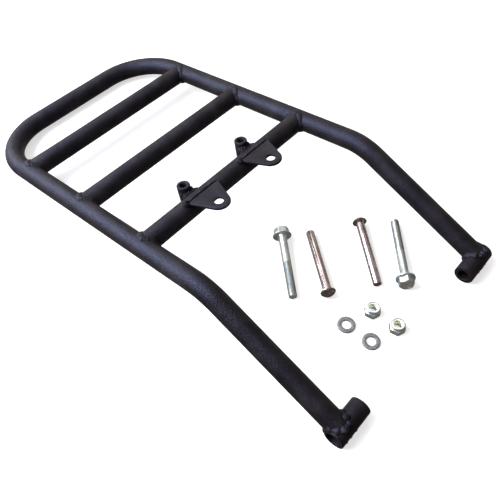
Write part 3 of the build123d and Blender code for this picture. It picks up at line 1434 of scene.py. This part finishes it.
@dataclass
class FlangeBolt:
    """A zinc-plated hex bolt with a flange and a half-threaded shank."""

    layout: Layout
    plating: Finish
    threaded_share: float = 0.57
    flats: float = 13 * MM
    flange_r: float = 8.95 * MM
    rim: float = 1.2 * MM
    cone: float = 1.6 * MM
    head: float = 8 * MM

    def build(self, places: dict[str, tuple[float, float, Lie]]) -> list[Thing]:
        """Makes the bolts, each at its own length, and lays them down.

        Args:
            places: the length of each bolt, the turn of its hexagon in degrees and its place,
                by its node's name.

        Returns:
            The bolts.
        """
        made = []
        for node, (length, roll, lie) in places.items():
            shank = Shank(length=length, thread=length * self.threaded_share)
            bolt = self.model(f"{node}_steel", shank, roll)
            put(bolt, lie.leaning(self.layout, self.flange_r, shank, self.head))
            self.plating.coat(bolt)
            made += belong({node: bolt}, node)
        return made

    def model(self, name: str, shank: Shank, roll: float) -> Thing:
        """Turns flange and shank, cuts the thread and puts the hexagon on.

        Args:
            name: the bolt's name.
            shank: its shank.
            roll: the turn of the hexagon, in degrees.

        Returns:
            The bolt, standing on its tip's axis.
        """
        shank_r = shank.radius
        outline = [
            (0, -self.rim - self.cone - 0.6 * MM),
            (self.flats / 2 - 0.4 * MM, -self.rim - self.cone - 0.2 * MM),
            (self.flats / 2, -self.rim - self.cone),
            (self.flange_r - 0.5 * MM, -self.rim - 0.25 * MM),
            (self.flange_r - 0.12 * MM, -self.rim),
            (self.flange_r, -self.rim * 0.7),
            (self.flange_r, -0.2 * MM),
            (self.flange_r - 0.2 * MM, 0),
            (shank_r + 0.5 * MM, 0),
            (shank_r + 0.12 * MM, 0.12 * MM),
            (shank_r, 0.5 * MM),
        ]
        bolt = turned(name, outline + shank.profile(), steps=48)
        shank.cut_thread(bolt)
        block = hex_block("head", self.flats, -self.head, -self.rim, crown_up=False)
        put(block, Matrix.Rotation(math.radians(roll), 4, "Z"))
        dish = turned(
            "dish",
            [
                (0, -self.head - MM),
                (self.flats * 0.34, -self.head - MM),
                (self.flats * 0.33, -self.head + 0.1 * MM),
                (self.flats * 0.27, -self.head + 0.35 * MM),
                (0, -self.head + 0.35 * MM),
            ],
        )
        combine(block, dish, "DIFFERENCE")
        combine(bolt, block, "UNION")
        return shade(close_up(bolt, 2e-6), 32)


@dataclass
class DomePin:
    """A polished pin with a plain dome head and a smooth shank."""

    layout: Layout
    steel: Finish
    shank: Shank = Shank()
    dome_r: float = 7 * MM
    dome_height: float = 4.4 * MM
    rim: float = 0.6 * MM
    rings: int = 14

    def build(self, places: dict[str, Lie]) -> list[Thing]:
        """Makes one pin and lays a copy at each place.

        Args:
            places: the place of each pin, by its node's name.

        Returns:
            The pins.
        """
        model = self.model()
        made = []
        for node, lie in places.items():
            pin = twin(model, f"{node}_steel")
            put(pin, lie.leaning(self.layout, self.dome_r, self.shank, self.dome_height))
            self.steel.coat(pin)
            made += belong({node: pin}, node)
        bpy.data.objects.remove(model, do_unlink=True)
        return made

    def model(self) -> Thing:
        """Turns the dome, a slice of a ball on a thin rim, and the shank.

        Returns:
            The pin.
        """
        rise = self.dome_height - self.rim
        ball_r = (rise**2 + self.dome_r**2) / (2 * rise)
        middle = -self.dome_height + ball_r
        outline: Profile = []
        last = math.asin((self.dome_r - 0.12 * MM) / ball_r)
        for number in range(self.rings + 1):
            turn = last * number / self.rings
            outline.append((ball_r * math.sin(turn), middle - ball_r * math.cos(turn)))
        outline += [
            (self.dome_r, -self.rim * 0.8),
            (self.dome_r, -0.2 * MM),
            (self.dome_r - 0.2 * MM, 0),
            (self.shank.radius + 0.35 * MM, 0),
            (self.shank.radius, 0.35 * MM),
        ]
        pin = turned("dome_pin", outline + self.shank.profile(), steps=64)
        return shade(pin, 32)


@dataclass
class LockNut:
    """A zinc-plated lock nut: hexagon, rolled collar, threaded bore and nylon ring."""

    layout: Layout
    plating: Finish
    nylon: Finish
    flats: float = 13 * MM
    hex_height: float = 6.4 * MM
    height: float = 9.2 * MM
    bore_r: float = 3.35 * MM
    collar_r: float = 6.2 * MM
    wall: float = 1.0 * MM
    ring_bore_r: float = 3.7 * MM
    ring_height: float = 2.0 * MM
    recess: float = 0.4 * MM
    depth: float = 0.5 * MM
    thread_steps: int = 40

    def build(self, places: dict[str, Lie]) -> list[Thing]:
        """Makes one nut with its ring and sets a copy at each place.

        Args:
            places: the place of each nut, by its body's name.

        Returns:
            The nuts and their rings.
        """
        body, ring = self.body(), self.ring()
        made = []
        for word, lie in places.items():
            place = lie.flat(self.layout)
            steel = put(twin(body, f"{word}_steel"), place)
            insert = put(twin(ring, f"{word}_insert"), place)
            self.plating.coat(steel)
            self.nylon.coat(insert)
            made += belong({f"{word}_body": steel, f"{word}_nylon_ring": insert}, word)
        bpy.data.objects.remove(body, do_unlink=True)
        bpy.data.objects.remove(ring, do_unlink=True)
        return made

    def body(self) -> Thing:
        """Turns the threaded core with its collar and puts the hexagon round it.

        Returns:
            The nut's metal body.
        """
        seat = self.height - self.recess - self.ring_height
        inner = self.collar_r - self.wall
        outline: Profile = [
            (self.bore_r + 0.7 * MM, 0),
            (self.collar_r - 0.5 * MM, 0),
            (self.collar_r - 0.3 * MM, 0.2 * MM),
            (self.collar_r - 0.3 * MM, self.hex_height - MM),
            (self.collar_r, self.hex_height - 0.5 * MM),
            (self.collar_r, self.height - 1.1 * MM),
            (self.collar_r - 0.12 * MM, self.height - 0.6 * MM),
            (self.collar_r - 0.45 * MM, self.height - 0.18 * MM),
            (self.collar_r - 0.85 * MM, self.height),
            (inner - 0.25 * MM, self.height - 0.05 * MM),
            (inner - 0.4 * MM, self.height - 0.22 * MM),
            (inner - 0.25 * MM, self.height - self.recess),
            (inner, self.height - self.recess - 0.2 * MM),
            (inner, seat),
            (self.bore_r + 0.7 * MM, seat),
        ]
        low, high = 0.7 * MM, seat - 0.4 * MM
        for number in range(self.thread_steps + 1):
            outline.append((self.bore_r, high + (low - high) * number / self.thread_steps))
        core = turned("nut", outline, ring=True, steps=48)
        for point in core.data.vertices:
            x, y, z = point.co
            if low < z < high and math.hypot(x, y) < self.bore_r * 1.02:
                phase = (z / PITCH - math.atan2(y, x) / math.tau) % 1.0
                grow = 1 + self.depth * (1 - abs(2 * phase - 1)) / self.bore_r
                point.co.x, point.co.y = x * grow, y * grow
        jacket = hex_block("jacket", self.flats, 0, self.hex_height, crown_up=True)
        reach = Vector((0, 0, self.height))
        core_room = drum("room", self.collar_r - 0.8 * MM, -reach, reach, 48)
        combine(jacket, core_room, "DIFFERENCE")
        combine(core, jacket, "UNION")
        return shade(close_up(core, 2e-6), 32)

    def ring(self) -> Thing:
        """Turns the nylon ring, whose lip is rounded.

        Returns:
            The ring.
        """
        low = self.height - self.recess - self.ring_height
        high = low + self.ring_height
        outer = self.collar_r - self.wall
        profile = [
            (self.ring_bore_r + 0.3 * MM, low),
            (outer, low),
            (outer, high - 0.25 * MM),
            (outer - 0.35 * MM, high),
            (self.ring_bore_r + 0.5 * MM, high),
            (self.ring_bore_r + 0.12 * MM, high - 0.2 * MM),
            (self.ring_bore_r, high - 0.5 * MM),
            (self.ring_bore_r, low + 0.3 * MM),
        ]
        return shade(turned("insert", profile, ring=True, steps=48), 50)


@dataclass
class FlatWasher:
    """A stamped flat washer: one face rounded over, the other with a crisp edge."""

    layout: Layout
    plating: Finish
    radius: float = 8 * MM
    hole_r: float = 4.2 * MM
    thickness: float = 1.6 * MM

    def build(self, places: dict[str, Lie]) -> list[Thing]:
        """Makes one washer and lays a copy at each place.

        Args:
            places: the place of each washer, by its node's name.

        Returns:
            The washers.
        """
        top = self.thickness
        roll = 0.35 * MM
        profile = [
            (self.hole_r + 0.1 * MM, 0),
            (self.radius - 0.12 * MM, 0),
            (self.radius, 0.12 * MM),
            (self.radius, top - roll),
            (self.radius - roll * 0.3, top - roll * 0.3),
            (self.radius - roll, top),
            (self.hole_r + roll, top),
            (self.hole_r + roll * 0.3, top - roll * 0.3),
            (self.hole_r, top - roll),
            (self.hole_r, 0.1 * MM),
        ]
        model = turned("washer", profile, ring=True, steps=64)
        made = []
        for node, lie in places.items():
            washer = put(twin(model, f"{node}_steel"), lie.flat(self.layout))
            shade(washer, 40)
            self.plating.coat(washer)
            made += belong({node: washer}, node)
        bpy.data.objects.remove(model, do_unlink=True)
        return made


# ---------------------------------------------------------------- studio


@dataclass
class Studio:
    """A plain pale floor, soft light and the camera."""

    floor_size: float = 16.0
    floor_glow: float = 0.62
    bright_way: tuple[float, float, float] = (-0.8, 0.3, 0.52)
    dark_sky: Colour = (0.10, 0.085, 0.075)
    bright_sky: Colour = (0.60, 0.55, 0.50)
    wall: Colour = (0.82, 0.81, 0.80)
    camera_place: tuple[float, float, float] = (0.26686, -0.26016, 0.43851)
    camera_aim: tuple[float, float, float] = (0.06109, -0.02141, 0.0)
    camera_roll: float = 0.641
    lens: float = 40.825
    sensor: float = 36.0

    def build(self) -> None:
        """Sets out floor, lights and camera."""
        bpy.context.scene.view_settings.view_transform = "Standard"
        self.floor()
        self.sky()
        self.soft_box("key", (-0.72, -0.75, 1.0), 1.1, 72.0, (0.80, 0.87, 1.0))
        self.soft_box("fill", (-0.75, 0.6, 0.9), 0.7, 3.0, (1.0, 0.97, 0.92))
        self.soft_box("window", (-1.3, -0.15, 0.5), 0.6, 9.0, (0.84, 0.90, 1.0))
        self.camera()

    def floor(self) -> None:
        """Lays the floor, a board with softened edges."""
        depth = 0.02
        bpy.ops.object.select_all(action="DESELECT")
        bpy.ops.mesh.primitive_cube_add(size=1, location=(0, 0, -depth / 2 - 0.0002))
        bpy.context.object.scale = (self.floor_size, self.floor_size, depth)
        board = fresh("floor_board")
        soften(board, depth / 4)
        material, tree, bsdf = shader("floor_paper")
        tint = ramp(tree, grain(tree, 3, 2), [(0.3, (0.52, 0.52, 0.52)), (0.7, (0.56, 0.56, 0.56))])
        tree.links.new(tint, bsdf.inputs["Base Color"])
        fix(bsdf, Roughness=0.9, Specular_IOR_Level=0.1)
        fix(bsdf, Emission_Color=(1, 1, 1), Emission_Strength=self.floor_glow)
        board.data.materials.append(material)
        board.visible_glossy = False

    def sky(self) -> None:
        """Lights the scene from all round, brighter from behind the hoop, before a pale wall."""
        world = bpy.data.worlds.new("studio")
        bpy.context.scene.world = world
        world.use_nodes = True
        tree = world.node_tree
        place = tree.nodes.new("ShaderNodeTexCoord")
        lean = tree.nodes.new("ShaderNodeVectorMath")
        lean.operation = "DOT_PRODUCT"
        lean.inputs[1].default_value = self.bright_way
        tree.links.new(place.outputs["Generated"], lean.inputs[0])
        level = tree.nodes.new("ShaderNodeMapRange")
        fix(level, From_Min=-0.4, From_Max=0.9)
        tree.links.new(lean.outputs["Value"], level.inputs["Value"])
        tint = ramp(tree, level.outputs["Result"], [(0.0, self.dark_sky), (1.0, self.bright_sky)])
        seen = tree.nodes.new("ShaderNodeLightPath")
        backdrop = tree.nodes.new("ShaderNodeMixRGB")
        fix(backdrop, Color2=self.wall)
        tree.links.new(seen.outputs["Is Camera Ray"], backdrop.inputs["Fac"])
        tree.links.new(tint, backdrop.inputs["Color1"])
        tree.links.new(backdrop.outputs["Color"], tree.nodes["Background"].inputs["Color"])

    def soft_box(
        self,
        name: str,
        place: tuple[float, float, float],
        size: float,
        power: float,
        tint: Colour,
    ) -> None:
        """Hangs a square soft light that faces the middle of the carrier.

        Args:
            name: the light's name.
            place: where it hangs.
            size: length of its side.
            power: its power in watts.
            tint: its colour.
        """
        data = bpy.data.lights.new(name, "AREA")
        data.size = size
        data.energy = power
        data.color = tint
        lamp = bpy.data.objects.new(name, data)
        bpy.context.scene.collection.objects.link(lamp)
        lamp.location = place
        lamp.rotation_euler = (-Vector(place)).to_track_quat("-Z", "Y").to_euler()

    def camera(self) -> None:
        """Sets up the camera and makes it the scene's own."""
        data = bpy.data.cameras.new("camera")
        data.lens = self.lens
        data.sensor_width = self.sensor
        data.clip_start = 0.01
        camera = bpy.data.objects.new("camera", data)
        bpy.context.scene.collection.objects.link(camera)
        place, aim = Vector(self.camera_place), Vector(self.camera_aim)
        turn = (aim - place).to_track_quat("-Z", "Y")
        turn = turn @ Quaternion((0, 0, 1), math.radians(self.camera_roll))
        camera.location = place
        camera.rotation_euler = turn.to_euler()
        bpy.context.scene.camera = camera


# ---------------------------------------------------------------- whole


def main() -> None:
    """Builds every sub-assembly in order and reports each piece."""
    logging.basicConfig(level=logging.INFO, format="%(message)s")
    layout = Layout()
    paint, zinc, polished = PowderCoat(), ZincPlate(), PolishedSteel()
    pieces = [BentTube(layout, paint).build()]
    pieces += Crossbars(layout, paint).build()
    for side in Side:
        pieces += Boss(layout, paint, side).build()
        pieces += Tab(layout, paint, side).build()
        pieces += Spacer(layout, paint, side).build()
    pieces += FlangeBolt(layout, zinc).build(
        {
            "near_flange_bolt": (65 * MM, 30, Lie(129.6 * MM, -12.7 * MM, -41.8)),
            "far_flange_bolt": (70 * MM, 0, Lie(57.7 * MM, 67.0 * MM, 130.2)),
        }
    )
    pieces += DomePin(layout, polished).build(
        {
            "near_dome_pin": Lie(107.3 * MM, 7.3 * MM, 140.8),
            "far_dome_pin": Lie(81.5 * MM, 48.7 * MM, -41.3),
        }
    )
    pieces += LockNut(layout, zinc, Nylon()).build(
        {
            "rear_nut": Lie(42.1 * MM, -0.9 * MM, 40),
            "front_nut": Lie(16.9 * MM, -0.3 * MM, 40),
        }
    )
    pieces += FlatWasher(layout, DullSteel()).build(
        {
            "rear_washer": Lie(51.6 * MM, -26.2 * MM),
            "front_washer": Lie(26.4 * MM, -25.2 * MM),
        }
    )
    for piece in pieces:
        log.info("%s: %d faces", piece.name, len(piece.data.polygons))
    Studio().build()


if __name__ == "__main__":
    main()
